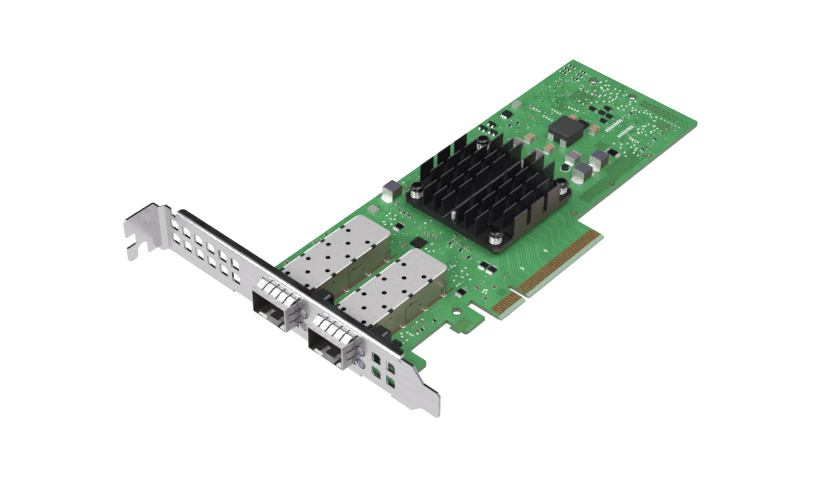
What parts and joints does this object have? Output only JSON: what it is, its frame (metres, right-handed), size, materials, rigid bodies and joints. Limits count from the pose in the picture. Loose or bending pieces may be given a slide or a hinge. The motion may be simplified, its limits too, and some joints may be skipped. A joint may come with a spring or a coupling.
{
  "type": "network interface card",
  "caption": "Half-length server card: board with edge connector, pluggable port cages behind a full-height slot bracket, and a finned heat sink held by spring pins.",
  "frame": {"origin": "centre of the key notch on the connector's bottom edge, on the board's component face", "axes": "+X along the board from the bracket to the far end, +Y up the card's height away from the edge connector, +Z out of the component side"},
  "size_m": [0.1814, 0.12, 0.0185],
  "materials": {
    "solder_mask": "green solder mask over glass-fibre laminate",
    "gold_contact": "gold plating over nickel",
    "bracket_steel": "nickel-plated steel sheet",
    "screw_steel": "zinc-plated steel",
    "cage_sheet": "tin-plated copper alloy sheet",
    "collar_sheet": "bright plated spring sheet",
    "connector_plastic": "moulded black thermoplastic",
    "pipe_plastic": "clear polycarbonate",
    "holder_plastic": "moulded black thermoplastic",
    "diode_resin": "clear resin on a white base",
    "black_anodised": "black anodised extrusion, cross-cut",
    "post_steel": "plain steel",
    "pin_plastic": "moulded black nylon",
    "spring_steel": "bright spring wire",
    "thermal_pad": "soft grey interface pad",
    "lid_metal": "nickel-plated lid",
    "package_laminate": "green package laminate",
    "inductor_powder": "pressed metal powder in resin",
    "chip_mould": "black epoxy mould compound",
    "choke_ferrite": "ferrite",
    "tin": "tin plating",
    "grey_ceramic": "grey capacitor body",
    "tan_ceramic": "fired tan ceramic",
    "resistor_glaze": "black glaze over ceramic",
    "can_metal": "nickel-plated can"
  },
  "bodies": {
    "root": {"block_capacitor_bodies": "grey_ceramic", "block_capacitor_ends": "tin", "bracket": "bracket_steel", "bracket_nut_1": "screw_steel", "bracket_nut_2": "screw_steel", "bracket_screw_1": "screw_steel", "bracket_screw_2": "screw_steel", "bulk_capacitor_bodies": "grey_ceramic", "bulk_capacitor_frames": "tin", "ceramic_capacitor_bodies": "tan_ceramic", "ceramic_capacitor_ends": "tin", "chip_capacitor_bodies": "tan_ceramic", "chip_capacitor_ends": "tin", "chip_resistor_bodies": "resistor_glaze", "chip_resistor_ends": "tin", "choke": "choke_ferrite", "clock_chip": "chip_mould", "controller_lid": "lid_metal", "controller_substrate": "package_laminate", "crystal_can": "can_metal", "diodes": "chip_mould", "earthing_posts": "post_steel", "edge_contacts_back": "gold_contact", "edge_contacts_front": "gold_contact", "emi_collar_1": "collar_sheet", "emi_collar_2": "collar_sheet", "heatsink": "black_anodised", "light_pipe_1": "pipe_plastic", "light_pipe_2": "pipe_plastic", "light_pipe_holder_1": "holder_plastic", "light_pipe_holder_2": "holder_plastic", "oscillator": "can_metal", "pcb": "solder_mask", "port_connector_1": "connector_plastic", "port_connector_2": "connector_plastic", "power_inductor_core": "inductor_powder", "power_inductor_terminals": "tin", "power_stage": "chip_mould", "push_pin_1": "pin_plastic", "push_pin_2": "pin_plastic", "push_pin_3": "pin_plastic", "push_pin_4": "pin_plastic", "push_pin_spring_1": "spring_steel", "push_pin_spring_2": "spring_steel", "push_pin_spring_3": "spring_steel", "push_pin_spring_4": "spring_steel", "sense_resistor_bodies": "resistor_glaze", "sense_resistor_ends": "tin", "sfp_cage_1": "cage_sheet", "sfp_cage_2": "cage_sheet", "shunt_resistor_bodies": "resistor_glaze", "shunt_resistor_ends": "tin", "small_outline_bodies": "chip_mould", "small_outline_leads": "tin", "status_leds_1": "diode_resin", "status_leds_2": "diode_resin", "thermal_pad": "thermal_pad"}
  },
  "joints": []
}
